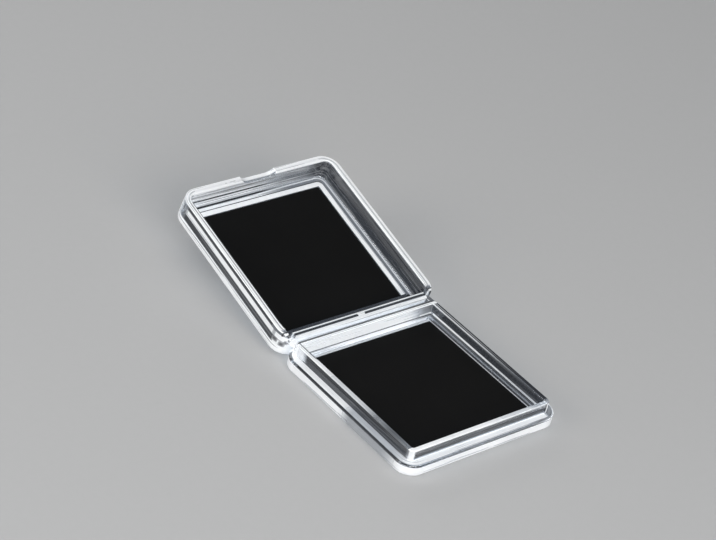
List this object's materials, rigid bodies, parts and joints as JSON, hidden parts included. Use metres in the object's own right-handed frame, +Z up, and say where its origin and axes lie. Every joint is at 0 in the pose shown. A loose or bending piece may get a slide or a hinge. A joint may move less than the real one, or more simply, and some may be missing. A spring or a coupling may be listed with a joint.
{
  "type": "coin capsule storage box",
  "caption": "Clear square box with a stepped base, an overlapping hinged lid with a thumb notch, and charcoal liner cards, for keeping a coin capsule.",
  "frame": {"origin": "middle of the base's flat underside, on the surface that the box stands on", "axes": "+Z up, +Y from the front of the base towards the hinge and on along the open lid, +X along the hinge"},
  "size_m": [0.06, 0.1205, 0.0237],
  "materials": {
    "clear_plastic": "clear injection-moulded polystyrene, polished, with a faint blue-grey cast",
    "liner_card": "matt charcoal card",
    "pin_steel": "drawn steel wire"
  },
  "bodies": {
    "base": {"base_tray": "clear_plastic", "base_liner": "liner_card", "hinge_pin_left": "pin_steel", "hinge_pin_right": "pin_steel"},
    "lid": {"lid": "clear_plastic", "lid_liner": "liner_card"}
  },
  "joints": [
    {"name": "lid_hinge", "type": "hinge", "parent": "base", "child": "lid", "pos_m": [0, 0.02975, 0.0065], "axis": [1, 0, 0], "range_deg": [0, 165.6]}
  ]
}
